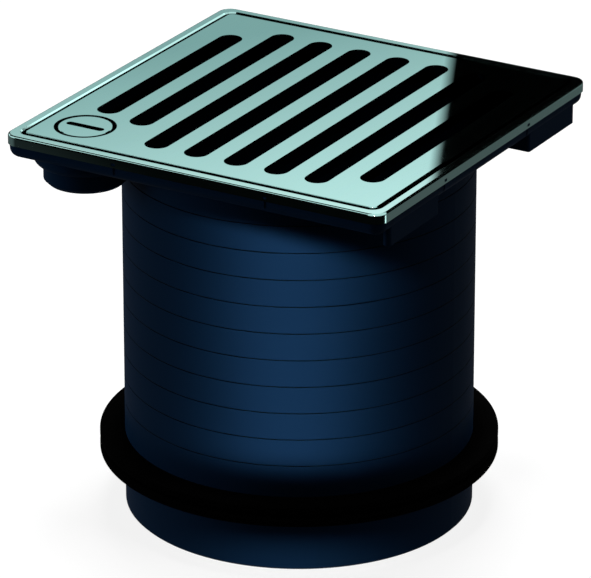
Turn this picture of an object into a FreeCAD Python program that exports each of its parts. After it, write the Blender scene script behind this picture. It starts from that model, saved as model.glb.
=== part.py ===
import FreeCAD
import Part
import math
import os

# Floor drain top section: a slotted plate that rests in a trimmed moulded frame, locked by a quarter turn.
# Millimetres, +Z up. The origin is the centre of the tube's lower end.
# The front edge runs along X, the slots run along Y, and the lock is in the front left corner.

# Overall
FRAME_SIDE = 150.0
HEIGHT = 150.0
FRAME_CORNER = 5.0

# Pressed trim that caps the frame's upstand
TRIM_FLAT = 3.9
TRIM_SHEET = 0.5
TRIM_SKIRT = 3.7
TRIM_BEND = 0.9
TRIM_INNER_EDGE = 0.6
TRIM_PLAY = 0.1
CLIP_SPACING = 60.0
CLIP_WIDTH = 1.5
CLIP_HEIGHT = 0.8
CLIP_HOLE_PLAY = 0.1
CLIP_RISE = 1.2
CLIP_SHY = 0.2
CLIP_NOTCH_WIDTH = 1.0
CLIP_NOTCH_DEPTH = 0.5

# Grate plate
GRATE_GAP = 1.5
GRATE_THICK = 4.0
GRATE_CORNER = 2.0
GRATE_EDGE = 0.3
SLOT_WIDTH = 8.9
SLOT_PITCH = 15.9
SLOT_END_MARGIN = 9.2
SLOT_CORNER_MARGIN = 19.2
LOCK_SLOT_CLEARANCES = (13.8, 9.7)

# Moulded frame
FLANGE_DEPTH = 8.7
FLANGE_EDGE = 3.6
LEDGE_WIDTH = 5.1
POCKET_CORNER = 8.0
FLOOR_DROP = 3.0
FLOOR_SLOPE = 2.2
RIB_THICK = 3.0
RIB_SETBACK = 1.1
RIB_LOW = 14.0
RIB_ROOT = 4.8
RIB_INNER = 32.8
RIB_OUTER = 67.0
RIB_CORNER = 0.8

# Tube and its marks
TUBE_OD = 125.0
TUBE_WALL = 3.0
TUBE_CHAMFER = 0.8
MARK_FIRST = 40.0
MARK_PITCH = 10.0
MARK_WIDTH = 0.5
MARK_DEPTH = 0.25
MARK_TOP_MARGIN = 8.0

# Seal ring
SEAL_REACH = 9.0
SEAL_HEIGHT = 7.4
SEAL_LOW = 20.8
SEAL_SEAT = 1.0
SEAL_LIP_TIP = 1.0
SEAL_LIP_DEPTH = 3.0

# Quarter-turn lock
LOCK_INSET = 20.8
HEAD_DIA = 19.0
HEAD_THICK = 2.4
HEAD_FLOAT = 0.1
HEAD_EDGE = 0.15
COIN_SLOT_LENGTH = 15.1
COIN_SLOT_WIDTH = 2.9
COIN_SLOT_DEPTH = 1.5
SHANK_DIA = 8.0
SHANK_PLAY = 0.05
SPRING_SHEET = 0.6
SPRING_RISE = 1.2
SPRING_PLAY = 0.1
SLEEVE_DIA = 12.0
BAR_LENGTH = 22.0
BAR_WIDTH = 7.0
BAR_THICK = 3.0
BAR_SQUARE = 5.4
BAR_GAP = 0.3
TAIL_DIA = 5.4
TAIL_LENGTH = 1.2
RING_DIA = 9.0
RING_THICK = 0.8
RING_GROOVE = 4.4
RING_MOUTH = 3.6
RING_GAP = 0.1

# Moulded pot round the lock
POT_WALL = 2.9
POT_FLOOR = 2.0
POT_STEP = 3.5
POT_STEP_DEPTH = 4.2
POT_STEP_EDGE = 3.2
POT_EDGE = 1.5
POT_LEDGE = 1.8
POT_SWING = 1.0
POT_CLEAR = 2.0
KEYHOLE_PLAY = 0.5
SLEEVE_HOLE_PLAY = 0.7

# Hook opposite the lock and its moulded catch
HOOK_WIDTH = 12.0
HOOK_SHEET = 1.5
HOOK_PAD = 9.5
HOOK_REACH = 3.0
HOOK_GAP = 0.3
CATCH_WALL = 2.2
CATCH_SIDE_PLAY = 1.0
CATCH_DEPTH = 3.6

# Places worked out from the sizes above
frame_half = FRAME_SIDE / 2
opening_half = frame_half - TRIM_FLAT
grate_half = opening_half - GRATE_GAP
seat_level = HEIGHT - GRATE_THICK
trim_low = HEIGHT - TRIM_SKIRT
upstand_top = HEIGHT - TRIM_SHEET
upstand_out = frame_half - TRIM_SHEET - TRIM_PLAY
upstand_in = opening_half + TRIM_SHEET + TRIM_PLAY
flange_low = HEIGHT - FLANGE_DEPTH
pocket_half = opening_half - LEDGE_WIDTH
floor_low = seat_level - FLOOR_DROP
tube_out = TUBE_OD / 2
tube_in = tube_out - TUBE_WALL
seal_high = SEAL_LOW + SEAL_HEIGHT
seal_in = tube_out - SEAL_SEAT
lock_place = frame_half - LOCK_INSET
head_low = HEIGHT - HEAD_THICK
recess_low = head_low - HEAD_FLOAT
recess_radius = HEAD_DIA / 2 + GRATE_GAP
ledge_low = flange_low - POT_LEDGE
bar_top = ledge_low - BAR_GAP
bar_low = bar_top - BAR_THICK
bar_radius = BAR_LENGTH / 2
ring_top = bar_low - RING_GAP
ring_low = ring_top - RING_THICK
bolt_low = ring_low - TAIL_LENGTH
spring_top = seat_level - SPRING_PLAY
sleeve_top = spring_top - SPRING_RISE
shank_hole = SHANK_DIA / 2 + SHANK_PLAY
cavity_radius = bar_radius + POT_SWING
cavity_low = bolt_low - POT_CLEAR
pot_radius = cavity_radius + POT_WALL
pot_low = cavity_low - POT_FLOOR
pot_step_low = flange_low - POT_STEP_DEPTH
catch_top = floor_low
catch_low = catch_top - CATCH_DEPTH
hook_leg = pocket_half - HOOK_SHEET - CATCH_SIDE_PLAY
hook_tip = pocket_half + HOOK_REACH
hook_top = catch_top - HOOK_GAP
Z_AXIS = FreeCAD.Vector(0, 0, 1)
NEAR = 1e-6


def vector(x, y, z):
    return FreeCAD.Vector(x, y, z)


def block(x_span, y_span, z_span):
    """A box between two values on each axis."""
    sizes = [high - low for low, high in (x_span, y_span, z_span)]
    return Part.makeBox(*sizes, vector(x_span[0], y_span[0], z_span[0]))


def cylinder(radius, z_low, z_high, x=0.0, y=0.0):
    """An upright cylinder between two levels."""
    return Part.makeCylinder(radius, z_high - z_low, vector(x, y, z_low), Z_AXIS)


def turned(points, x=0.0, y=0.0):
    """A solid of revolution about an upright axis, from (radius, level) points."""
    outline = Part.makePolygon([vector(r, 0, z) for r, z in points + points[:1]])
    solid = Part.Face(outline).revolve(vector(0, 0, 0), Z_AXIS, 360)
    solid.translate(vector(x, y, 0))
    return solid


def edges_at(shape, level):
    """Every edge that lies wholly at one level."""
    return [e for e in shape.Edges if all(abs(v.Z - level) < NEAR for v in e.Vertexes)]


def rounded_square(half, corner, z_low, z_high):
    """A square prism about the axis, with rounded upright edges."""
    solid = block((-half, half), (-half, half), (z_low, z_high))
    upright = [e for e in solid.Edges if abs(e.Vertexes[0].Z - e.Vertexes[1].Z) > NEAR]
    return solid.makeFillet(corner, upright)


def stadium(length, width, z_low, z_high):
    """A round-ended bar along X, centred on the axis."""
    radius = width / 2
    reach = length / 2 - radius
    ends = [cylinder(radius, z_low, z_high, side * reach) for side in (-1, 1)]
    middle = block((-reach, reach), (-radius, radius), (z_low, z_high))
    return middle.multiFuse(ends).removeSplitter()


def clip_places():
    """Where the trim clips on: two places a side, as a turn about the axis and an offset along the side."""
    offsets = (-CLIP_SPACING / 2, CLIP_SPACING / 2)
    return [(turn, offset) for turn in (0, 90, 180, 270) for offset in offsets]


def about_axis(solid, turn):
    """The solid turned about the part's axis."""
    copy = solid.copy()
    copy.rotate(vector(0, 0, 0), Z_AXIS, turn)
    return copy


def side_tab(play, inner, outer, offset):
    """A tab that stands out of the right side at the clips' level, grown all round by the play."""
    level = trim_low + CLIP_RISE
    half_width = CLIP_WIDTH / 2 + play
    half_height = CLIP_HEIGHT / 2 + play
    y_span = (offset - half_width, offset + half_width)
    return block((inner, outer), y_span, (level - half_height, level + half_height))


def make_trim():
    """Pressed rim: a channel of thin sheet, open below, with holes that snap over the frame's tabs."""
    rim = rounded_square(frame_half, FRAME_CORNER, trim_low, HEIGHT)
    rim = rim.makeFillet(TRIM_BEND, edges_at(rim, HEIGHT))
    inner_corner = GRATE_CORNER + GRATE_GAP
    rim = rim.cut(rounded_square(opening_half, inner_corner, trim_low, HEIGHT))
    inner_edges = [e for e in edges_at(rim, HEIGHT) if in_opening(e)]
    rim = rim.makeChamfer(TRIM_INNER_EDGE, inner_edges)
    outer_skin = rounded_square(frame_half - TRIM_SHEET, FRAME_CORNER - TRIM_SHEET, trim_low, upstand_top)
    inner_skin = rounded_square(opening_half + TRIM_SHEET, inner_corner + TRIM_SHEET, trim_low, upstand_top)
    rim = rim.cut(outer_skin.cut(inner_skin))
    holes = []
    for turn, offset in clip_places():
        hole = side_tab(CLIP_HOLE_PLAY, upstand_out, frame_half, offset)
        holes.append(about_axis(hole, turn))
    return rim.cut(holes)


def in_opening(edge):
    """Whether an edge belongs to the opening rather than to the outer outline."""
    middle = edge.CenterOfMass
    return max(abs(middle.x), abs(middle.y)) < opening_half + NEAR


def make_flange():
    """Square moulded frame with its rounded lower edge and the upstand that the trim caps."""
    corner = FRAME_CORNER - TRIM_SHEET - TRIM_PLAY
    flange = rounded_square(upstand_out, corner, flange_low, upstand_top)
    flange = flange.makeFillet(FLANGE_EDGE, edges_at(flange, flange_low))
    well_corner = GRATE_CORNER + GRATE_GAP + TRIM_SHEET + TRIM_PLAY
    return flange.cut(rounded_square(upstand_in, well_corner, seat_level, upstand_top))


def make_pocket():
    """The space under the plate: a square well whose floor falls towards the tube."""
    far = 2 * frame_half
    floor_far = floor_low + (far - tube_in) * math.tan(math.radians(FLOOR_SLOPE))
    above_floor = turned([(0, floor_low), (tube_in, floor_low), (far, floor_far), (far, HEIGHT), (0, HEIGHT)])
    return rounded_square(pocket_half, POCKET_CORNER, floor_low, HEIGHT).common(above_floor)


def make_tube():
    """Tube with a chamfered end, a seat for the seal and cutting marks at an even pitch."""
    outline = [(tube_in, 0), (tube_out - TUBE_CHAMFER, 0), (tube_out, TUBE_CHAMFER)]
    outline += [(tube_out, SEAL_LOW), (seal_in, SEAL_LOW), (seal_in, seal_high), (tube_out, seal_high)]
    marks = int((flange_low - MARK_TOP_MARGIN - MARK_FIRST) / MARK_PITCH) + 1
    for index in range(marks):
        level = MARK_FIRST + index * MARK_PITCH
        outline.append((tube_out, level - MARK_WIDTH / 2))
        outline.append((tube_out - MARK_DEPTH, level))
        outline.append((tube_out, level + MARK_WIDTH / 2))
    outline += [(tube_out, floor_low), (tube_in, floor_low)]
    return turned(outline)


def make_pot():
    """Stepped pot under the lock, solid until its cavity and keyhole are cut."""
    top = floor_low
    step = cylinder(pot_radius + POT_STEP, pot_step_low, top, -lock_place, -lock_place)
    step = step.makeFillet(POT_STEP_EDGE, edges_at(step, pot_step_low))
    cup = cylinder(pot_radius, pot_low, top, -lock_place, -lock_place)
    cup = cup.makeChamfer(POT_EDGE, edges_at(cup, pot_low))
    return step.fuse(cup)


def make_keyhole():
    """The way in for the bar and sleeve, and the round cavity that the bar turns in below the ledge."""
    slot = block(
        (-BAR_WIDTH / 2 - KEYHOLE_PLAY, BAR_WIDTH / 2 + KEYHOLE_PLAY),
        (-bar_radius - KEYHOLE_PLAY, bar_radius + KEYHOLE_PLAY),
        (ledge_low, HEIGHT),
    )
    sleeve_way = cylinder(SLEEVE_DIA / 2 + SLEEVE_HOLE_PLAY, ledge_low, HEIGHT)
    cavity = cylinder(cavity_radius, cavity_low, ledge_low)
    way = slot.multiFuse([sleeve_way, cavity])
    way.translate(vector(-lock_place, -lock_place, 0))
    return way


def make_rib(x_side, y_side):
    """Rib below one corner: along the frame's side, then round a tight corner and in to the tube."""
    outer = frame_half - RIB_SETBACK
    inner = outer - RIB_THICK
    tip = RIB_OUTER - RIB_THICK / 2
    low = HEIGHT - RIB_LOW
    root = HEIGHT - RIB_ROOT
    run = block((inner, outer), (RIB_INNER, tip), (low, root))
    turn = vector(outer, RIB_INNER, (low + root) / 2)
    run = run.makeFillet(RIB_CORNER, [e for e in run.Edges if e.CenterOfMass.isEqual(turn, NEAR)])
    end = cylinder(RIB_THICK / 2, low, root, outer - RIB_THICK / 2, tip)
    leg = block((0, inner), (RIB_INNER, RIB_INNER + RIB_THICK), (low, floor_low))
    rib = run.multiFuse([end, leg])
    if x_side < 0:
        rib = rib.mirror(vector(0, 0, 0), vector(1, 0, 0))
    if y_side < 0:
        rib = rib.mirror(vector(0, 0, 0), vector(0, 1, 0))
    return rib


def catch_span(wall):
    """The catch's extent across the hook, with a wall's thickness added on each side."""
    half = HOOK_WIDTH / 2 + CATCH_SIDE_PLAY + wall
    return lock_place - half, lock_place + half


def make_catch_housing():
    """Moulded block under the back ledge that holds the hook's pocket."""
    y_span = (hook_leg - CATCH_SIDE_PLAY - CATCH_WALL, hook_tip + CATCH_SIDE_PLAY + CATCH_WALL)
    return block(catch_span(CATCH_WALL), y_span, (catch_low - CATCH_WALL, floor_low))


def make_catch_pocket():
    """Pocket that the hook reaches down into and then back under the ledge."""
    y_span = (hook_leg - CATCH_SIDE_PLAY, hook_tip + CATCH_SIDE_PLAY)
    under = block(catch_span(0), y_span, (catch_low, catch_top))
    mouth = block(catch_span(0), (y_span[0], pocket_half), (catch_low, HEIGHT))
    return under.fuse(mouth)


def make_top_section():
    """The moulding: frame, tube, lock pot, catch and ribs in one piece."""
    ribs = [make_rib(1, -1), make_rib(1, 1), make_rib(-1, 1)]
    body = make_flange().multiFuse([make_tube(), make_pot(), make_catch_housing()] + ribs)
    bore = cylinder(tube_in, 0, HEIGHT)
    notches = []
    tabs = []
    for turn, offset in clip_places():
        notch = block(
            (upstand_out - CLIP_NOTCH_DEPTH, frame_half),
            (offset - CLIP_NOTCH_WIDTH / 2, offset + CLIP_NOTCH_WIDTH / 2),
            (flange_low, trim_low),
        )
        notches.append(about_axis(notch, turn))
        tab = side_tab(0, upstand_out - TRIM_SHEET, frame_half - CLIP_SHY, offset)
        tabs.append(about_axis(tab, turn))
    body = body.cut([bore, make_pocket(), make_keyhole(), make_catch_pocket()] + notches)
    return body.multiFuse(tabs).removeSplitter()


def make_slots():
    """Long slots at an even pitch, shorter beside the corners and beside the lock."""
    last = int((2 * (grate_half - SLOT_END_MARGIN) - SLOT_WIDTH) / SLOT_PITCH)
    slots = []
    for index in range(last + 1):
        x = (index - last / 2) * SLOT_PITCH
        margin = SLOT_CORNER_MARGIN if index in (0, last) else SLOT_END_MARGIN
        back = grate_half - margin
        front = -back
        if index < len(LOCK_SLOT_CLEARANCES):
            front = LOCK_SLOT_CLEARANCES[index] - lock_place
        slot = stadium(back - front, SLOT_WIDTH, seat_level, HEIGHT)
        slot.rotate(vector(0, 0, 0), Z_AXIS, 90)
        slot.translate(vector(x, (front + back) / 2, 0))
        slots.append(slot)
    return slots


def make_grate():
    """Slotted plate with an eased outline and the lock's recess."""
    plate = rounded_square(grate_half, GRATE_CORNER, seat_level, HEIGHT)
    plate = plate.makeFillet(GRATE_EDGE, edges_at(plate, HEIGHT))
    recess = cylinder(recess_radius, recess_low, HEIGHT, -lock_place, -lock_place)
    hole = cylinder(shank_hole, seat_level, HEIGHT, -lock_place, -lock_place)
    return plate.cut(make_slots() + [recess, hole])


def make_hook():
    """Bent strip under the plate that reaches back under the frame's ledge."""
    x_span = (lock_place - HOOK_WIDTH / 2, lock_place + HOOK_WIDTH / 2)
    leg_back = hook_leg + HOOK_SHEET
    pad = block(x_span, (leg_back - HOOK_PAD, leg_back), (seat_level - HOOK_SHEET, seat_level))
    leg = block(x_span, (hook_leg, leg_back), (hook_top - HOOK_SHEET, seat_level))
    tongue = block(x_span, (hook_leg, hook_tip), (hook_top - HOOK_SHEET, hook_top))
    return pad.multiFuse([leg, tongue]).removeSplitter()


def make_seal():
    """Rubber ring on the tube, with two lips round its rim."""
    rim = tube_out + SEAL_REACH
    middle = (SEAL_LOW + seal_high) / 2
    outline = [(seal_in, SEAL_LOW), (rim, SEAL_LOW), (rim, middle - SEAL_LIP_TIP)]
    outline += [(rim - SEAL_LIP_DEPTH, middle), (rim, middle + SEAL_LIP_TIP)]
    outline += [(rim, seal_high), (seal_in, seal_high)]
    return turned(outline)


def make_bolt():
    """Lock bolt: slotted disc head, round shank, square for the bar and a grooved tail."""
    head = cylinder(HEAD_DIA / 2, head_low, HEIGHT)
    head = head.makeChamfer(HEAD_EDGE, edges_at(head, HEIGHT))
    shank = cylinder(SHANK_DIA / 2, bar_top, head_low)
    half = BAR_SQUARE / 2
    square = block((-half, half), (-half, half), (bar_low, bar_top))
    tail = cylinder(TAIL_DIA / 2, bolt_low, bar_low)
    groove = cylinder(TAIL_DIA, ring_low, ring_top).cut(cylinder(RING_GROOVE / 2, ring_low, ring_top))
    coin_slot = stadium(COIN_SLOT_LENGTH, COIN_SLOT_WIDTH, HEIGHT - COIN_SLOT_DEPTH, HEIGHT)
    bolt = head.multiFuse([shank, square, tail]).cut([groove, coin_slot])
    bolt.translate(vector(-lock_place, -lock_place, 0))
    return bolt.removeSplitter()


def make_spring():
    """Disc spring that holds the turned lock by friction."""
    inner = shank_hole + SPRING_PLAY
    outer = SLEEVE_DIA / 2
    low = sleeve_top
    high = spring_top
    outline = [(inner, high - SPRING_SHEET), (outer, low), (outer, low + SPRING_SHEET), (inner, high)]
    return turned(outline, -lock_place, -lock_place)


def make_sleeve():
    """Spacer between the disc spring and the bar."""
    tube = cylinder(SLEEVE_DIA / 2, bar_top, sleeve_top, -lock_place, -lock_place)
    return tube.cut(cylinder(shank_hole, bar_top, sleeve_top, -lock_place, -lock_place))


def make_bar():
    """Bar that turns under the pot's ledge, with round ends and a square hole."""
    bar = block((-bar_radius, bar_radius), (-BAR_WIDTH / 2, BAR_WIDTH / 2), (bar_low, bar_top))
    bar = bar.common(cylinder(bar_radius, bar_low, bar_top))
    half = BAR_SQUARE / 2 + SHANK_PLAY
    bar = bar.cut(block((-half, half), (-half, half), (bar_low, bar_top)))
    bar.translate(vector(-lock_place, -lock_place, 0))
    return bar


def make_ring():
    """Open retaining ring in the tail's groove."""
    ring = cylinder(RING_DIA / 2, ring_low, ring_top).cut(cylinder(RING_GROOVE / 2, ring_low, ring_top))
    mouth = block((0, RING_DIA), (-RING_MOUTH / 2, RING_MOUTH / 2), (ring_low, ring_top))
    ring = ring.cut(mouth)
    ring.translate(vector(-lock_place, -lock_place, 0))
    return ring


NODES = {
    "top_section": make_top_section,
    "trim_frame": make_trim,
    "grate_plate": make_grate,
    "catch_hook": make_hook,
    "lip_seal": make_seal,
    "lock_bolt": make_bolt,
    "lock_disc_spring": make_spring,
    "lock_sleeve": make_sleeve,
    "lock_bar": make_bar,
    "lock_retaining_ring": make_ring,
}

os.makedirs("parts", exist_ok=True)
for name, make in NODES.items():
    make().exportStep(f"parts/{name}.step")
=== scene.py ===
import math

import bmesh
import bpy
from mathutils import Matrix, Vector


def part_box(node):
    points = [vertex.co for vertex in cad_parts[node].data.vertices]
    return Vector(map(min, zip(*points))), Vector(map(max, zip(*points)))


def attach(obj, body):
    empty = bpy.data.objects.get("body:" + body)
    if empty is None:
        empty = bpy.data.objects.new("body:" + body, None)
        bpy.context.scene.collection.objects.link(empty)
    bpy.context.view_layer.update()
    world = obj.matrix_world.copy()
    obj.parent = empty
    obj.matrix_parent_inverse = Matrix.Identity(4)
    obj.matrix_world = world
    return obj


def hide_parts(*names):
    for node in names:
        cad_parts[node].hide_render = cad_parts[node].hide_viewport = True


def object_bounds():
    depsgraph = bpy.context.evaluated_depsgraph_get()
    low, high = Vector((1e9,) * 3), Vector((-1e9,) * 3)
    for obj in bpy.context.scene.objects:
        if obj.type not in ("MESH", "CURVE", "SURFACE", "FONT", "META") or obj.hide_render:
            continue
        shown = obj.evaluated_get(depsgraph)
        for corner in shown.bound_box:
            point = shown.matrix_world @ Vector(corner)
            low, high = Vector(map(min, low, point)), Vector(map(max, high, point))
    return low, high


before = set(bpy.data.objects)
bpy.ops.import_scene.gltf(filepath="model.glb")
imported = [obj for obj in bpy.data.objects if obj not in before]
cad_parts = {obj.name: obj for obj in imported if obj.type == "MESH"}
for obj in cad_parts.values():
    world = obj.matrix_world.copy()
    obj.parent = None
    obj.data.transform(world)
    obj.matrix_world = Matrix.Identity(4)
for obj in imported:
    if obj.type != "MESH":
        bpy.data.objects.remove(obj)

bl_info = {
    "name": "Floor Drain Grate",
    "version": (1, 0, 0),
    "blender": (4, 5, 0),
    "location": "3D View > Sidebar > Drain",
    "description": "Finishes a slotted floor drain, its frame, lock and seal, and sets up a studio",
    "category": "Object",
}

CAD_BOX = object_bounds()
MM = 0.001
QUARTER_TURN = math.radians(90)
WHITE = (1.0, 1.0, 1.0)

# The photograph's width in pixels, the camera's sensor in millimetres and its reach in metres
PHOTO_WIDTH = 591
SENSOR_WIDTH = 36.0
CAMERA_REACH = 100

# Sockets of a colour Mix node, which has several of the same name
MIX_SHARE, MIX_FIRST, MIX_SECOND, MIX_RESULT = 0, 6, 7, 2

# Octaves of a noise, from coarse to fine, and the range that nearly all its values lie in
COARSE, MEDIUM, FINE = 2.0, 3.0, 4.0
NOISE_LOW, NOISE_HIGH = 0.3, 0.7

# Steel: shares of the tint and of the roughness over the finish, and how far its lines show
STEEL_TONES = (0.94, 1.04)
STEEL_GLOSS = (0.85, 1.2)
STEEL_STREAKS = 0.10
STEEL_BUMP = 0.015
STEEL_LINE_FALLOFF = 0.6

# Polypropylene: shares of the tint, steps of the roughness, and where a mark's painted shade lies in
# its depth
MOULDING_TONES = (0.9, 1.1)
MOULDING_GLOSS = (-0.04, 0.05)
MOULDING_BUMP = 0.25
MOULDING_GRAIN_FALLOFF = 0.55
MOULDING_IOR = 1.49
MARK_MIDDLE, MARK_REACH = 0.86, 0.54

# Rubber: shares of the tint, and steps of the roughness
RUBBER_TONES = (0.7, 1.4)
RUBBER_GLOSS = (-0.06, 0.06)
RUBBER_BUMP = 0.2
RUBBER_IOR = 1.52

# Segments of the seal's edges and of the studio's round cards
EDGE_STEPS = 3
FLAG_STEPS, CORNER_STEPS, RING_STEPS = 64, 32, 48

# How far a card lies above the floor, and in front of the panel
FLOOR_GAP = 0.5 * MM
PANEL_GAP = 2 * MM


def linear(code):
    """The linear colour of an sRGB hex value."""
    channels = [int(code[i:i + 2], 16) / 255 for i in (1, 3, 5)]
    return [c / 12.92 if c <= 0.04045 else ((c + 0.055) / 1.055) ** 2.4 for c in channels]


def colour(name, description, code):
    """A colour property whose default is an sRGB hex value."""
    return bpy.props.FloatVectorProperty(
        name=name, description=description, subtype="COLOR", size=3, min=0, max=1,
        default=linear(code))


def length(name, description, millimetres):
    """A length property in metres whose default is given in millimetres."""
    return bpy.props.FloatProperty(
        name=name, description=description, subtype="DISTANCE", unit="LENGTH", precision=5,
        default=millimetres * MM)


def angle(name, description, degrees):
    """An angle property whose default is given in degrees."""
    return bpy.props.FloatProperty(
        name=name, description=description, subtype="ANGLE", unit="ROTATION",
        default=math.radians(degrees))


def level(name, description, value, top=1.0):
    """A plain factor."""
    return bpy.props.FloatProperty(
        name=name, description=description, subtype="FACTOR", min=0, max=top, default=value)


def power(name, description, watts):
    """The power of a lamp."""
    return bpy.props.FloatProperty(
        name=name, description=description, subtype="POWER", unit="POWER", default=watts)


def spans(name, description, *millimetres):
    """The left, right, low and high edges of a card."""
    return bpy.props.FloatVectorProperty(
        name=name, description=description, unit="LENGTH", precision=5, size=4,
        default=[edge * MM for edge in millimetres])


class DrainSteel(bpy.types.PropertyGroup):
    """Finish of the stainless plate, trim and lock"""
    plate: colour("Plate", "Fine brushed stainless plate and lock head", "#A6DAD5")
    trim: colour("Trim", "Pressed stainless rim round the plate", "#B0DFDA")
    hardware: colour("Hardware", "Mill finish of the hidden lock pieces", "#9FB0B0")
    plate_roughness: level("Plate roughness", "How far the plate blurs what it reflects", 0.055)
    trim_roughness: level("Trim roughness", "How far the trim blurs what it reflects", 0.07)
    hardware_roughness: level(
        "Hardware roughness", "How far the mill finish blurs what it reflects", 0.3)
    grain_width: length(
        "Grain width", "Width of a brushed line, drawn coarser than the real 0.05 mm to show", 0.35)
    grain_length: length("Grain length", "Length of a brushed line along the slots", 14.0)
    grain_depth: length("Grain depth", "Depth of a brushed line", 0.002)
    cloud_size: length("Cloud size", "Size of the faint clouds in the finish", 45)
    # Painted shade: how dark the coin slot's floor and walls are painted, in place of the shade that
    # falls in the slot
    slot_painted_shade: level(
        "Slot shade", "How dark the unbrushed floor and walls of the coin slot are", 0.04)
    slot_depth: length("Slot depth", "How far under the face the coin slot's shade is full", 0.25)


class DrainMoulding(bpy.types.PropertyGroup):
    """Finish of the moulded polypropylene"""
    body: colour("Body", "Dark blue moulded polypropylene", "#112A46")
    # Painted shade: the marks' colour stands in for the shade in the grooves
    mark: colour("Mark", "Shade in the marks cut round the tube", "#050C14")
    tube_radius: length("Tube radius", "Outside of the tube, which the marks are cut into", 62.5)
    mark_depth: length("Mark depth", "Depth of the marks", 0.25)
    sheen: colour("Sheen", "Tint of the moulding's soft highlight", "#5FC8D8")
    roughness: level("Roughness", "Satin of the moulding", 0.5)
    gloss: level("Gloss", "Strength of the moulding's highlight", 0.03)
    grain_size: length("Grain size", "Pitch of the spark-eroded mould texture", 0.5)
    grain_depth: length("Grain depth", "Depth of the mould texture", 0.006)
    flow_size: length("Flow size", "Size of the faint clouds that the melt leaves", 60)
    sleeve: colour("Sleeve", "Dark moulded spacer inside the lock", "#1A1B1D")


class DrainSeal(bpy.types.PropertyGroup):
    """Shape and finish of the rubber ring"""
    rubber: colour("Rubber", "Black vulcanised rubber", "#020202")
    roughness: level("Roughness", "Matt of the rubber", 0.72)
    gloss: level("Gloss", "Strength of the rubber's highlight", 0.006)
    edge: length("Edge", "Rounding of the ring's lips", 0.5)
    groove: length("Groove", "Depth of the groove between the lips", 3.0)
    groove_mouth: length("Groove mouth", "Width of the groove at the rim", 2.0)
    bloom_size: length("Bloom size", "Size of the faint patches on the rubber", 6.0)
    skin_size: length("Skin size", "Grain of the rubber's skin", 0.6)
    skin_depth: length("Skin depth", "Depth of that grain", 0.01)
    steps: bpy.props.IntProperty(
        name="Steps", description="Segments round the ring", min=24, default=180)


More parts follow.
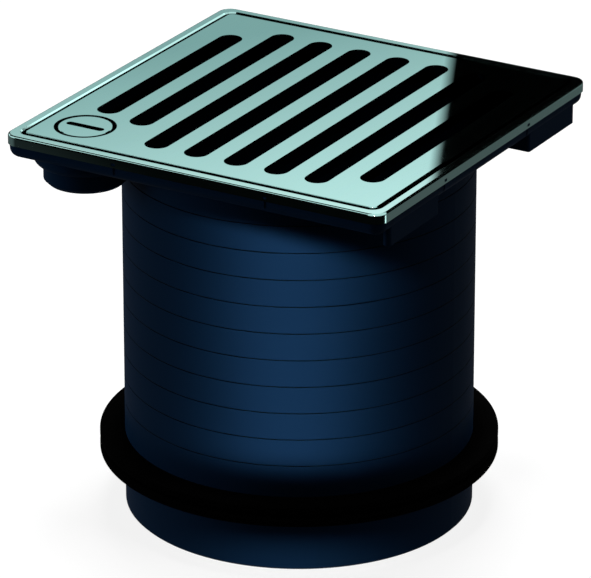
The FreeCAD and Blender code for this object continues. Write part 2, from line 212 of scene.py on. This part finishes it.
class DrainStage(bpy.types.PropertyGroup):
    """Camera, light, floor and cards"""
    azimuth: angle("Azimuth", "Camera direction, from the front towards the right", 30.183)
    elevation: angle("Elevation", "Camera height above the horizon", 22.986)
    distance: length("Distance", "Camera distance from the aim point", 1848.9)
    aim_height: length("Aim height", "Height of the aim point above the floor", 80.42)
    focal_pixels: bpy.props.FloatProperty(
        name="Focal pixels", description="Focal length in pixels of the frame's width",
        default=5204.87)
    axis_offset: bpy.props.FloatProperty(
        name="Axis offset", description="Pixels from the frame's middle to the tube's axis",
        default=3.64)
    strip_power: power("Strip power", "Gridded strip box that lights the tube", 0.0445)
    strip_azimuth: angle("Strip azimuth", "Direction of the strip box", 27.8)
    strip_elevation: angle("Strip elevation", "Height of the strip box", 29)
    strip_distance: length("Strip distance", "How far the strip box stands off", 450)
    strip_width: length("Strip width", "Width of the strip box", 38)
    strip_height: length("Strip height", "Height of the strip box", 200)
    strip_spread: angle("Strip spread", "How far the grid lets the strip's light fan out", 11)
    top_power: power("Top power", "Soft box overhead", 30)
    top_height: length("Top height", "Height of the soft box overhead", 1600)
    top_side: length("Top side", "Side of the soft box overhead", 500)
    back_power: power("Back power", "Soft box behind", 18)
    back_azimuth: angle("Back azimuth", "Direction of the soft box behind", 205)
    back_elevation: angle("Back elevation", "Height of the soft box behind", 62)
    back_distance: length("Back distance", "How far the soft box behind stands off", 1400)
    back_side: length("Back side", "Side of the soft box behind", 600)
    side_power: power("Side power", "Weak box on the left", 1.2)
    side_azimuth: angle("Side azimuth", "Direction of the box on the left", -62)
    side_elevation: angle("Side elevation", "Height of the box on the left", 8)
    side_distance: length("Side distance", "How far the box on the left stands off", 900)
    side_side: length("Side box", "Side of the box on the left", 300)
    fill: level("Fill", "Even light from all round", 0.08)
    floor: colour("Floor", "Pale floor", "#F4F4F4")
    floor_glow: level("Floor glow", "Part of the floor's white that no shadow takes away", 0.86)
    floor_side: length("Floor side", "Side of the floor", 12000)
    flag_dark: level("Flag dark", "Grey of the floor flag in front", 0.002)
    flag_light: level("Flag light", "Grey of the floor flag behind", 0.12)
    flag_turn: angle("Flag turn", "Direction in which the floor flag grades, from the right", 120)
    flag_middle: length(
        "Flag middle", "Middle of the floor flag's grading, along that direction", -139)
    flag_fade: length("Flag fade", "Distance over which the floor flag grades", 175)
    flag_radius: length("Flag radius", "Radius of the flag on the floor", 700)
    flag_height: length("Flag height", "Height of the flag's upright rim", 260)
    panel_distance: length("Panel distance", "How far behind the axis the graded panel stands", 300)
    panel_card: spans("Panel", "Edges of the graded panel", -140, 600, 200, 600)
    panel_tint: colour("Panel tint", "Cool tint of the panel low down", "#E8FFFF")
    panel_dim: level("Panel dim", "Light of the panel low down", 0.53, top=2)
    panel_bright: level("Panel bright", "Light of the panel high up", 1.28, top=2)
    panel_middle: length("Panel middle", "Height of the middle of the panel's grading", 281)
    panel_fade: length("Panel fade", "Height over which the panel grades", 100)
    panel_tilt: angle("Panel tilt", "Lean of the panel's grading", 10.6)
    gobo_distance: length("Gobo distance", "How far behind the axis the feathered flag stands", 90)
    gobo_card: spans(
        "Gobo", "Edges of the feathered flag behind the plate's right half", 0, 260, 150, 300)
    gobo_edge: length("Gobo edge", "Where the feathered edge lies, right of the axis", 8.5)
    gobo_middle: length("Gobo middle", "Height that the feathered edge leans about", 180)
    gobo_fade: length("Gobo fade", "Width of the feathered edge", 5)
    gobo_tilt: angle("Gobo tilt", "Lean of the feathered edge", 8)
    low_card: spans("Grey flag", "Edges of the grey flag far on the right", 400, 1200, 0, 560)
    low_light: level("Grey flag light", "Grey of the flag far on the right", 0.3)
    left_distance: length("Left distance", "How far the black flags on the left stand off", 400)
    left_card: spans(
        "Left flag", "Edges of the high black flag on the left, before it leans",
        59, 950, 300, 1330)
    left_lean: angle("Left lean", "Lean of the high black flag on the left", -23)
    glint_card: spans(
        "Glint flag", "Edges of the small black flag that takes the glint off the far corner",
        130, 330, 200, 430)
    front_card: spans(
        "Front flag", "Edges of the lower black flag on the left, nearer the front",
        -1050, -500, 80, 760)
    horizon_card: spans(
        "Horizon flag", "Edges of the dark flag low behind the left corner", -400, 60, 0, 200)
    horizon_light: level("Horizon light", "Grey of the dark flag low behind the left corner", 0.12)
    edge_distance: length(
        "Edge card distance", "How far the white card for the left groove stands off", 100)
    edge_card: spans(
        "Edge card", "Edges of the white card that lights the left groove's far edge",
        -495, -280, 373, 413)
    edge_light: level(
        "Edge card light", "Light of the white cards for the groove and the corner", 1.7, top=5)
    corner_place: bpy.props.FloatVectorProperty(
        name="Corner card", description="Place of the white disc that lights the corner's skirt",
        default=(378 * MM, 101 * MM, 0.6 * MM), subtype="XYZ", unit="LENGTH")
    corner_radius: length("Corner radius", "Radius of the disc that lights the corner's skirt", 40)
    ring_distance: length(
        "Ring distance", "How far the shading ring hangs out toward the strip box", 70)
    ring_height: length("Ring height", "Height on the tube where the ring's shade begins", 40)
    ring_inner: length("Ring inner", "Inner radius of the shading ring", 62.5)
    ring_outer: length("Ring outer", "Outer radius of the shading ring", 116)
    ring_arc: angle("Ring arc", "How far the shading ring goes round", 130)
    skirt_distance: length(
        "Skirt flag distance", "How far before the axis the flange's flag stands", 90)
    skirt_card: spans(
        "Skirt flag", "Edges of the flag that keeps the strip box off the flange",
        -95, 95, 147, 200)
    paper_side: length(
        "Paper side", "Side of the black paper that keeps light out of the slots", 144)
    paper_depth: length("Paper depth", "How far the black paper lies under the plate's face", 0.5)
    # Painted shadow: a dark disc on the floor inside the tube stands in for the shade there
    well_radius: length("Well radius", "Radius of the shaded floor inside the tube", 61.5)
    well_shadow_grey: level("Well light", "Grey of the shaded floor inside the tube", 0.02)


STEEL, MOULDING, SEAL, STAGE = "drain_steel", "drain_moulding", "drain_seal", "drain_stage"


def add_node(tree, kind, settings=None, values=None, links=None):
    """Adds one node with its own options, its input values and the outputs that feed it."""
    node = tree.nodes.new(kind)
    for name, value in (settings or {}).items():
        setattr(node, name, value)
    for name, value in (values or {}).items():
        node.inputs[name].default_value = value
    for name, source in (links or {}).items():
        tree.links.new(source, node.inputs[name])
    return node


def new_material(name):
    """An empty node material with its tree and its output node."""
    material = bpy.data.materials.new(name)
    material.use_nodes = True
    material.node_tree.nodes.clear()
    return material, material.node_tree, add_node(material.node_tree, "ShaderNodeOutputMaterial")


def per_metre(size):
    """How often a pattern of that size repeats in a metre, as a noise scale."""
    return 1 / size


def opaque(tint, share=1.0):
    """A linear colour with its alpha, brought to a share of itself."""
    return [c * share for c in tint] + [1.0]


def dress(node_name, material):
    """Gives a carried-over solid its finish."""
    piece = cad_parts[node_name]
    piece.data.materials.clear()
    piece.data.materials.append(material)


def brushed_stainless(name, tint, roughness, looks, face=None):
    """Brushed austenitic stainless: nearly a mirror, with long fine lines along the slots.

    Under the height of a face, if one is given, the colour fades to a painted shade for the coin
    slot.
    """
    material, tree, out = new_material(name)
    place = add_node(tree, "ShaderNodeTexCoord")
    across, along = per_metre(looks.grain_width), per_metre(looks.grain_length)
    stretched = add_node(
        tree, "ShaderNodeMapping", values={"Scale": (across, along, across)},
        links={"Vector": place.outputs["Object"]})
    lines = add_node(
        tree, "ShaderNodeTexNoise",
        values={"Scale": 1.0, "Detail": FINE, "Roughness": STEEL_LINE_FALLOFF},
        links={"Vector": stretched.outputs["Vector"]})
    cloud = add_node(
        tree, "ShaderNodeTexNoise", values={"Scale": per_metre(looks.cloud_size), "Detail": COARSE},
        links={"Vector": place.outputs["Object"]})
    dark, pale = STEEL_TONES
    tone = add_node(
        tree, "ShaderNodeMix", settings={"data_type": "RGBA"},
        values={MIX_FIRST: opaque(tint, dark), MIX_SECOND: opaque(tint, pale)},
        links={MIX_SHARE: cloud.outputs["Fac"]})
    streaks = add_node(
        tree, "ShaderNodeMix", settings={"data_type": "RGBA", "blend_type": "MULTIPLY"},
        values={MIX_SHARE: STEEL_STREAKS},
        links={MIX_FIRST: tone.outputs[MIX_RESULT], MIX_SECOND: lines.outputs["Color"]})
    smooth, rough = STEEL_GLOSS
    gloss = add_node(
        tree, "ShaderNodeMapRange",
        values={"From Min": NOISE_LOW, "From Max": NOISE_HIGH,
                "To Min": roughness * smooth, "To Max": roughness * rough},
        links={"Value": lines.outputs["Fac"]})
    bump = add_node(
        tree, "ShaderNodeBump", values={"Strength": STEEL_BUMP, "Distance": looks.grain_depth},
        links={"Height": lines.outputs["Fac"]})
    skin = streaks.outputs[MIX_RESULT]
    # Painted shade: deeper than the face, the colour fades to a dark share of the tint, in place of
    # the shade in the coin slot
    if face is not None:
        split = add_node(tree, "ShaderNodeSeparateXYZ", links={"Vector": place.outputs["Object"]})
        slot_shade_share = add_node(
            tree, "ShaderNodeMapRange",
            values={"From Min": face, "From Max": face - looks.slot_depth},
            links={"Value": split.outputs["Z"]})
        skin = add_node(
            tree, "ShaderNodeMix", settings={"data_type": "RGBA"},
            values={MIX_SECOND: opaque(tint, looks.slot_painted_shade)},
            links={MIX_SHARE: slot_shade_share.outputs["Result"], MIX_FIRST: skin}).outputs[MIX_RESULT]
    shader = add_node(
        tree, "ShaderNodeBsdfPrincipled", values={"Metallic": 1.0},
        links={"Base Color": skin, "Roughness": gloss.outputs["Result"],
               "Normal": bump.outputs["Normal"]})
    tree.links.new(shader.outputs["BSDF"], out.inputs["Surface"])
    return material


def moulded_polypropylene(name, tint, looks):
    """Moulded polypropylene: a satin skin from the eroded mould, with a soft blue highlight.

    The marks cut round the tube carry a painted shade, and are found by their distance from its
    axis.
    """
    material, tree, out = new_material(name)
    place = add_node(tree, "ShaderNodeTexCoord")
    grain = add_node(
        tree, "ShaderNodeTexNoise",
        values={"Scale": per_metre(looks.grain_size), "Detail": MEDIUM,
                "Roughness": MOULDING_GRAIN_FALLOFF},
        links={"Vector": place.outputs["Object"]})
    flow = add_node(
        tree, "ShaderNodeTexNoise", values={"Scale": per_metre(looks.flow_size), "Detail": COARSE},
        links={"Vector": place.outputs["Object"]})
    dark, pale = MOULDING_TONES
    tone = add_node(
        tree, "ShaderNodeMix", settings={"data_type": "RGBA"},
        values={MIX_FIRST: opaque(tint, dark), MIX_SECOND: opaque(tint, pale)},
        links={MIX_SHARE: flow.outputs["Fac"]})
    across = add_node(
        tree, "ShaderNodeVectorMath", settings={"operation": "MULTIPLY"}, values={1: (1, 1, 0)},
        links={0: place.outputs["Object"]})
    radius = add_node(
        tree, "ShaderNodeVectorMath", settings={"operation": "LENGTH"},
        links={0: across.outputs["Vector"]})
    # Painted shade: a thin band of radius at the marks' depth takes the dark mark colour
    mark = add_node(
        tree, "ShaderNodeMath", settings={"operation": "COMPARE"},
        values={1: looks.tube_radius - MARK_MIDDLE * looks.mark_depth,
                2: MARK_REACH * looks.mark_depth},
        links={0: radius.outputs["Value"]})
    mark_painted_shade = add_node(
        tree, "ShaderNodeMix", settings={"data_type": "RGBA"},
        values={MIX_SECOND: opaque(looks.mark)},
        links={MIX_SHARE: mark.outputs[0], MIX_FIRST: tone.outputs[MIX_RESULT]})
    smooth, rough = MOULDING_GLOSS
    gloss = add_node(
        tree, "ShaderNodeMapRange",
        values={"From Min": NOISE_LOW, "From Max": NOISE_HIGH,
                "To Min": looks.roughness + smooth, "To Max": looks.roughness + rough},
        links={"Value": grain.outputs["Fac"]})
    bump = add_node(
        tree, "ShaderNodeBump", values={"Strength": MOULDING_BUMP, "Distance": looks.grain_depth},
        links={"Height": grain.outputs["Fac"]})
    shader = add_node(
        tree, "ShaderNodeBsdfPrincipled",
        values={"IOR": MOULDING_IOR, "Specular IOR Level": looks.gloss,
                "Specular Tint": opaque(looks.sheen)},
        links={"Base Color": mark_painted_shade.outputs[MIX_RESULT], "Roughness": gloss.outputs["Result"],
               "Normal": bump.outputs["Normal"]})
    tree.links.new(shader.outputs["BSDF"], out.inputs["Surface"])
    return material


def vulcanised_rubber(looks):
    """Vulcanised rubber: deep black and matt, with faint patches of bloom."""
    material, tree, out = new_material("vulcanised_rubber")
    place = add_node(tree, "ShaderNodeTexCoord")
    bloom = add_node(
        tree, "ShaderNodeTexNoise", values={"Scale": per_metre(looks.bloom_size), "Detail": FINE},
        links={"Vector": place.outputs["Object"]})
    skin = add_node(
        tree, "ShaderNodeTexNoise", values={"Scale": per_metre(looks.skin_size), "Detail": COARSE},
        links={"Vector": place.outputs["Object"]})
    dark, pale = RUBBER_TONES
    tone = add_node(
        tree, "ShaderNodeMix", settings={"data_type": "RGBA"},
        values={MIX_FIRST: opaque(looks.rubber, dark), MIX_SECOND: opaque(looks.rubber, pale)},
        links={MIX_SHARE: bloom.outputs["Fac"]})
    smooth, rough = RUBBER_GLOSS
    gloss = add_node(
        tree, "ShaderNodeMapRange",
        values={"From Min": NOISE_LOW, "From Max": NOISE_HIGH,
                "To Min": looks.roughness + smooth, "To Max": looks.roughness + rough},
        links={"Value": bloom.outputs["Fac"]})
    bump = add_node(
        tree, "ShaderNodeBump", values={"Strength": RUBBER_BUMP, "Distance": looks.skin_depth},
        links={"Height": skin.outputs["Fac"]})
    shader = add_node(
        tree, "ShaderNodeBsdfPrincipled",
        values={"IOR": RUBBER_IOR, "Specular IOR Level": looks.gloss},
        links={"Base Color": tone.outputs[MIX_RESULT], "Roughness": gloss.outputs["Result"],
               "Normal": bump.outputs["Normal"]})
    tree.links.new(shader.outputs["BSDF"], out.inputs["Surface"])
    return material


class DRAIN_OT_plate(bpy.types.Operator):
    """Brush the slotted plate and its lock head"""
    bl_idname = "drain.plate"
    bl_label = "Slotted Plate"

    def execute(self, context):
        looks = getattr(context.scene, STEEL)
        finish = (looks.plate, looks.plate_roughness, looks)
        dress("grate_plate", brushed_stainless("brushed_plate", *finish))
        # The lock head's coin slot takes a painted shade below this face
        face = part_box("lock_bolt")[1].z
        dress("lock_bolt", brushed_stainless("brushed_lock", *finish, face))
        return {"FINISHED"}


class DRAIN_OT_trim(bpy.types.Operator):
    """Finish the pressed rim"""
    bl_idname = "drain.trim"
    bl_label = "Pressed Trim"

    def execute(self, context):
        looks = getattr(context.scene, STEEL)
        finish = (looks.trim, looks.trim_roughness, looks)
        dress("trim_frame", brushed_stainless("pressed_trim", *finish))
        return {"FINISHED"}


class DRAIN_OT_lock(bpy.types.Operator):
    """Finish the hidden pieces of the lock and the hook"""
    bl_idname = "drain.lock"
    bl_label = "Lock Hardware"

    def execute(self, context):
        looks = getattr(context.scene, STEEL)
        steel = brushed_stainless("mill_steel", looks.hardware, looks.hardware_roughness, looks)
        for node_name in ("lock_disc_spring", "lock_bar", "lock_retaining_ring", "catch_hook"):
            dress(node_name, steel)
        moulding = getattr(context.scene, MOULDING)
        dress("lock_sleeve", moulded_polypropylene("moulded_sleeve", moulding.sleeve, moulding))
        return {"FINISHED"}


class DRAIN_OT_moulding(bpy.types.Operator):
    """Finish the moulded frame and tube"""
    bl_idname = "drain.moulding"
    bl_label = "Moulded Top Section"

    def execute(self, context):
        looks = getattr(context.scene, MOULDING)
        dress("top_section", moulded_polypropylene("moulded_frame", looks.body, looks))
        return {"FINISHED"}


class DRAIN_OT_seal(bpy.types.Operator):
    """Make the rubber ring with its two rounded lips"""
    bl_idname = "drain.seal"
    bl_label = "Lip Seal"

    def execute(self, context):
        looks = getattr(context.scene, SEAL)
        low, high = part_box("lip_seal")
        tube = min(v.co.xy.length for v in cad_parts["lip_seal"].data.vertices)
        rim = high.y
        middle = (low.z + high.z) / 2
        mouth = looks.groove_mouth / 2
        outline = [(tube, low.z), (rim, low.z), (rim, middle - mouth), (rim - looks.groove, middle),
                   (rim, middle + mouth), (rim, high.z), (tube, high.z)]
        ring = bmesh.new()
        corners = [ring.verts.new((r, 0, z)) for r, z in outline]
        ring.faces.new(corners)
        bmesh.ops.bevel(ring, geom=corners[1:-1], offset=looks.edge, affect="VERTICES",
                        segments=EDGE_STEPS, profile=0.5, material=-1)
        bmesh.ops.delete(ring, geom=ring.faces[:], context="FACES_ONLY")
        bmesh.ops.spin(ring, geom=ring.edges[:] + ring.verts[:], cent=(0, 0, 0), axis=(0, 0, 1),
                       angle=math.tau, steps=looks.steps, use_merge=True)
        bmesh.ops.recalc_face_normals(ring, faces=ring.faces)
        mesh = bpy.data.meshes.new("rubber_lip_seal")
        ring.to_mesh(mesh)
        ring.free()
        mesh.shade_smooth()
        piece = bpy.data.objects.new("rubber_lip_seal", mesh)
        context.scene.collection.objects.link(piece)
        piece.data.materials.append(vulcanised_rubber(looks))
        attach(piece, "drain_top")
        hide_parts("lip_seal")
        return {"FINISHED"}


def bearing(azimuth, elevation):
    """The unit vector towards a direction, azimuth 0 being the front and 90 degrees the right."""
    flat = math.cos(elevation)
    return Vector((math.sin(azimuth) * flat, -math.cos(azimuth) * flat, math.sin(elevation)))


def seen_rays(tree):
    """1 for rays that show a surface, straight, mirrored or through glass, and 0 for the others."""
    path = add_node(tree, "ShaderNodeLightPath")
    seen = add_node(
        tree, "ShaderNodeMath", settings={"operation": "MAXIMUM"},
        links={0: path.outputs["Is Camera Ray"], 1: path.outputs["Is Glossy Ray"]})
    return add_node(
        tree, "ShaderNodeMath", settings={"operation": "MAXIMUM"},
        links={0: seen.outputs[0], 1: path.outputs["Is Transmission Ray"]}).outputs[0]


def pale_floor(looks):
    """Plain matt board: white to the eye and in reflections, with room left for the shadow."""
    material, tree, out = new_material("pale_floor")
    share = add_node(
        tree, "ShaderNodeMath", settings={"operation": "MULTIPLY"}, values={1: looks.floor_glow},
        links={0: seen_rays(tree)})
    board = add_node(tree, "ShaderNodeBsdfDiffuse", values={"Color": opaque(looks.floor)})
    glow = add_node(tree, "ShaderNodeEmission", values={"Color": opaque(WHITE), "Strength": 1.0})
    mixed = add_node(
        tree, "ShaderNodeMixShader",
        links={0: share.outputs[0], 1: board.outputs["BSDF"], 2: glow.outputs["Emission"]})
    tree.links.new(mixed.outputs["Shader"], out.inputs["Surface"])
    return material


def white_world(scene, looks):
    """An even studio: dim to the object's matt surfaces, white to the eye and in reflections."""
    world = bpy.data.worlds.new("studio")
    world.use_nodes = True
    tree = world.node_tree
    tree.nodes.clear()
    strength = add_node(
        tree, "ShaderNodeMapRange", values={"To Min": looks.fill, "To Max": 1.0},
        links={"Value": seen_rays(tree)})
    light = add_node(
        tree, "ShaderNodeBackground", values={"Color": opaque(WHITE)},
        links={"Strength": strength.outputs["Result"]})
    add_node(tree, "ShaderNodeOutputWorld", links={"Surface": light.outputs["Background"]})
    scene.world = world


def stage_piece(context, name, bm, material, seen_by=None):
    """A piece of the studio and not of the drain, seen by all rays or only by those named."""
    mesh = bpy.data.meshes.new(name)
    bm.to_mesh(mesh)
    bm.free()
    piece = bpy.data.objects.new(name, mesh)
    context.scene.collection.objects.link(piece)
    piece.data.materials.append(material)
    if seen_by:
        for ray in ("camera", "diffuse", "glossy", "transmission", "volume_scatter", "shadow"):
            setattr(piece, "visible_" + ray, ray in seen_by)
    return piece


def card_paint(name, light):
    """Matt card: an even grey in reflections."""
    material, tree, out = new_material(name)
    shade = add_node(tree, "ShaderNodeEmission", values={"Color": opaque(WHITE), "Strength": light})
    tree.links.new(shade.outputs["Emission"], out.inputs["Surface"])
    return material


def grading(tree, middle, turn, fade):
    """A value that goes from 0 to 1 over a distance, along the card's own X axis turned to suit."""
    place = add_node(tree, "ShaderNodeTexCoord")
    lean = add_node(
        tree, "ShaderNodeMapping", settings={"vector_type": "TEXTURE"},
        values={"Location": middle, "Rotation": turn, "Scale": (fade, fade, fade)},
        links={"Vector": place.outputs["Object"]})
    split = add_node(tree, "ShaderNodeSeparateXYZ", links={"Vector": lean.outputs["Vector"]})
    return add_node(
        tree, "ShaderNodeMapRange", values={"From Min": -0.5, "From Max": 0.5},
        links={"Value": split.outputs["X"]}).outputs["Result"]


def graded_paint(name, share_of, dim, bright, tint=WHITE):
    """Card that grades evenly over a distance, from a dim tint to a bright white."""
    material, tree, out = new_material(name)
    hue = add_node(
        tree, "ShaderNodeMix", settings={"data_type": "RGBA"},
        values={MIX_FIRST: opaque(tint, dim), MIX_SECOND: opaque(WHITE, bright)},
        links={MIX_SHARE: grading(tree, *share_of)})
    shade = add_node(
        tree, "ShaderNodeEmission", values={"Strength": 1.0},
        links={"Color": hue.outputs[MIX_RESULT]})
    tree.links.new(shade.outputs["Emission"], out.inputs["Surface"])
    return material


def feathered_black(name, share_of):
    """Black net with a feathered edge, so its reflection ends softly."""
    material, tree, out = new_material(name)
    clear = add_node(tree, "ShaderNodeBsdfTransparent")
    shade = add_node(tree, "ShaderNodeEmission", values={"Strength": 0.0})
    mixed = add_node(
        tree, "ShaderNodeMixShader",
        links={0: grading(tree, *share_of), 1: clear.outputs["BSDF"], 2: shade.outputs["Emission"]})
    tree.links.new(mixed.outputs["Shader"], out.inputs["Surface"])
    return material


def upright_card(edges, behind):
    """A card that faces the front."""
    left, right, low, high = edges
    card = bmesh.new()
    bmesh.ops.create_grid(card, x_segments=1, y_segments=1, size=0.5)
    bmesh.ops.scale(card, verts=card.verts, vec=(right - left, high - low, 1))
    bmesh.ops.rotate(card, verts=card.verts, matrix=Matrix.Rotation(QUARTER_TURN, 3, "X"))
    bmesh.ops.translate(card, verts=card.verts, vec=((left + right) / 2, behind, (low + high) / 2))
    return card


def level_sheet(side, height):
    """A square sheet that lies level."""
    sheet = bmesh.new()
    bmesh.ops.create_grid(sheet, x_segments=1, y_segments=1, size=side / 2)
    bmesh.ops.translate(sheet, verts=sheet.verts, vec=(0, 0, height))
    return sheet


def level_disc(radius, place, steps):
    """A disc that lies level."""
    disc = bmesh.new()
    bmesh.ops.create_circle(disc, cap_ends=True, segments=steps, radius=radius)
    bmesh.ops.translate(disc, verts=disc.verts, vec=place)
    return disc


class DRAIN_OT_stage(bpy.types.Operator):
    """Set up the floor, the lights, the cards and the camera"""
    bl_idname = "drain.stage"
    bl_label = "Studio"

    def execute(self, context):
        scene = context.scene
        looks = getattr(scene, STAGE)
        scene.view_settings.view_transform = "Standard"
        white_world(scene, looks)
        stage_piece(context, "floor", level_sheet(looks.floor_side, 0), pale_floor(looks))
        black = card_paint("flag_black", 0.0)
        self.add_floor_flag(context, looks)
        self.add_cards(context, looks, black)
        self.add_drain_cards(context, looks, black)
        strip = self.add_box(
            scene, "strip_box", looks.strip_power, (looks.strip_azimuth, looks.strip_elevation),
            looks.strip_distance, looks.strip_width, looks.strip_height)
        strip.data.spread = looks.strip_spread
        back = self.add_box(
            scene, "back_box", looks.back_power, (looks.back_azimuth, looks.back_elevation),
            looks.back_distance, looks.back_side, looks.back_side)
        side = self.add_box(
            scene, "side_box", looks.side_power, (looks.side_azimuth, looks.side_elevation),
            looks.side_distance, looks.side_side, looks.side_side)
        top = self.add_box(
            scene, "top_box", looks.top_power, (0, QUARTER_TURN),
            looks.top_height, looks.top_side, looks.top_side)
        for lamp in (back, side, top):
            lamp.visible_glossy = False
        self.add_shades(context, looks, black, (back, side, top))
        self.add_camera(scene, looks)
        return {"FINISHED"}

    def add_floor_flag(self, context, looks):
        """The flag round the drain, which shows in reflections and holds back the floor's bounce."""
        flag = level_disc(looks.flag_radius, (0, 0, FLOOR_GAP), FLAG_STEPS)
        rim = bmesh.ops.extrude_edge_only(flag, edges=flag.edges[:])["geom"]
        upper = [v for v in rim if isinstance(v, bmesh.types.BMVert)]
        bmesh.ops.translate(flag, verts=upper, vec=(0, 0, looks.flag_height))
        middle = Matrix.Rotation(looks.flag_turn, 3, "Z") @ Vector((looks.flag_middle, 0, 0))
        grey = graded_paint(
            "flag_grey", (middle, (0, 0, looks.flag_turn), looks.flag_fade),
            looks.flag_dark, looks.flag_light)
        stage_piece(context, "floor_flag", flag, grey, {"glossy", "diffuse"})

    def add_cards(self, context, looks, black):
        """The panel, flags and white cards that only show in reflections."""
        lit = graded_paint(
            "graded_panel",
            ((0, 0, looks.panel_middle), (0, looks.panel_tilt - QUARTER_TURN, 0), looks.panel_fade),
            looks.panel_dim, looks.panel_bright, looks.panel_tint)
        grey = card_paint("flag_mid", looks.low_light)
        soft = feathered_black(
            "flag_feathered",
            ((looks.gobo_edge, 0, looks.gobo_middle), (0, -looks.gobo_tilt, 0), looks.gobo_fade))
        dark = card_paint("flag_dark", looks.horizon_light)
        white = card_paint("card_white", looks.edge_light)
        far, near = looks.panel_distance, looks.panel_distance - PANEL_GAP
        left = looks.left_distance
        for name, edges, behind, paint, turn, lean in (
                ("back_panel", looks.panel_card, far, lit, looks.azimuth, 0),
                ("grey_flag", looks.low_card, near, grey, looks.azimuth, 0),
                ("right_flag", looks.gobo_card, looks.gobo_distance, soft, 0, 0),
                ("left_flag", looks.left_card, left, black, QUARTER_TURN, looks.left_lean),
                ("glint_flag", looks.glint_card, left, black, QUARTER_TURN, 0),
                ("front_flag", looks.front_card, left, black, QUARTER_TURN, 0),
                ("horizon_flag", looks.horizon_card, near, dark, looks.azimuth, 0),
                ("edge_card", looks.edge_card, looks.edge_distance, white, -QUARTER_TURN, 0)):
            card = stage_piece(context, name, upright_card(edges, behind), paint, {"glossy"})
            card.rotation_euler = (0, lean, turn)
        disc = level_disc(looks.corner_radius, looks.corner_place, CORNER_STEPS)
        stage_piece(context, "corner_card", disc, white, {"glossy"})

    def add_drain_cards(self, context, looks, black):
        """The paper that keeps light out of the slots, and the painted shadow on the floor inside
        the tube.
        """
        paper = level_sheet(looks.paper_side, CAD_BOX[1].z - looks.paper_depth)
        stage_piece(context, "slot_paper", paper, black, {"diffuse", "glossy", "shadow"})
        # Painted shadow: a dark disc, seen by the camera and in reflections, in place of the shade
        # inside the tube
        well = level_disc(looks.well_radius, (0, 0, FLOOR_GAP), FLAG_STEPS)
        grey = card_paint("well_grey", looks.well_shadow_grey)
        stage_piece(context, "well_floor", well, grey, {"camera", "glossy"})

    def add_shades(self, context, looks, black, other_lamps):
        """Flags that keep the strip box, and no other lamp, off the seal and the flange."""
        ring = bmesh.new()
        ends = [ring.verts.new((0, -radius, 0)) for radius in (looks.ring_inner, looks.ring_outer)]
        bmesh.ops.spin(ring, geom=[*ends, ring.edges.new(ends)], cent=(0, 0, 0), axis=(0, 0, 1),
                       angle=looks.ring_arc, steps=RING_STEPS)
        start = Matrix.Rotation(looks.strip_azimuth - looks.ring_arc / 2, 3, "Z")
        bmesh.ops.rotate(ring, verts=ring.verts, cent=(0, 0, 0), matrix=start)
        middle = bearing(looks.strip_azimuth, looks.strip_elevation) * looks.ring_distance
        bmesh.ops.translate(ring, verts=ring.verts, vec=middle + Vector((0, 0, looks.ring_height)))
        skirt = upright_card(looks.skirt_card, -looks.skirt_distance)
        shades = bpy.data.collections.new("strip_shades")
        for name, card in (("strip_ring", ring), ("skirt_flag", skirt)):
            shades.objects.link(stage_piece(context, name, card, black, {"shadow"}))
        for entry in shades.collection_objects:
            entry.light_linking.link_state = "EXCLUDE"
        for lamp in other_lamps:
            lamp.light_linking.blocker_collection = shades

    def add_box(self, scene, name, watts, direction, distance, width, height):
        """A box light that faces the tube."""
        light = bpy.data.lights.new(name, "AREA")
        light.energy = watts
        light.shape = "RECTANGLE"
        light.size = width
        light.size_y = height
        lamp = bpy.data.objects.new(name, light)
        lamp.visible_camera = False
        scene.collection.objects.link(lamp)
        self.aim(lamp, scene, direction, distance)
        return lamp

    def add_camera(self, scene, looks):
        """The camera at the photograph's view."""
        data = bpy.data.cameras.new("camera")
        data.sensor_width = SENSOR_WIDTH
        data.lens = looks.focal_pixels * SENSOR_WIDTH / PHOTO_WIDTH
        data.shift_x = -looks.axis_offset / PHOTO_WIDTH
        data.clip_end = CAMERA_REACH
        camera = bpy.data.objects.new("camera", data)
        scene.collection.objects.link(camera)
        self.aim(camera, scene, (looks.azimuth, looks.elevation), looks.distance)
        scene.camera = camera

    def aim(self, tool, scene, direction, distance):
        """Stands a lamp or the camera off in a direction, and turns it to the aim point."""
        away = bearing(*direction)
        tool.location = Vector((0, 0, getattr(scene, STAGE).aim_height)) + away * distance
        tool.rotation_euler = (-away).to_track_quat("-Z", "Y").to_euler()


GROUPS = {STEEL: DrainSteel, MOULDING: DrainMoulding, SEAL: DrainSeal, STAGE: DrainStage}
OPERATORS = (
    DRAIN_OT_moulding, DRAIN_OT_plate, DRAIN_OT_trim, DRAIN_OT_lock, DRAIN_OT_seal, DRAIN_OT_stage)


class DRAIN_PT_sidebar(bpy.types.Panel):
    """Sizes, colours and steps of the floor drain"""
    bl_label = "Floor Drain"
    bl_idname = "DRAIN_PT_sidebar"
    bl_space_type = "VIEW_3D"
    bl_region_type = "UI"
    bl_category = "Drain"

    def draw(self, context):
        for operator in OPERATORS:
            self.layout.operator(operator.bl_idname)
        for attribute, group in GROUPS.items():
            box = self.layout.box()
            box.label(text=group.__doc__)
            for name in group.__annotations__:
                box.prop(getattr(context.scene, attribute), name)


CLASSES = (*GROUPS.values(), *OPERATORS, DRAIN_PT_sidebar)


def register():
    for cls in CLASSES:
        bpy.utils.register_class(cls)
    for attribute, group in GROUPS.items():
        setattr(bpy.types.Scene, attribute, bpy.props.PointerProperty(type=group))


def unregister():
    for attribute in GROUPS:
        delattr(bpy.types.Scene, attribute)
    for cls in reversed(CLASSES):
        bpy.utils.unregister_class(cls)


def main():
    """Runs every step in order."""
    register()
    for operator in OPERATORS:
        category, name = operator.bl_idname.split(".")
        getattr(getattr(bpy.ops, category), name)()


if __name__ == "__main__":
    main()
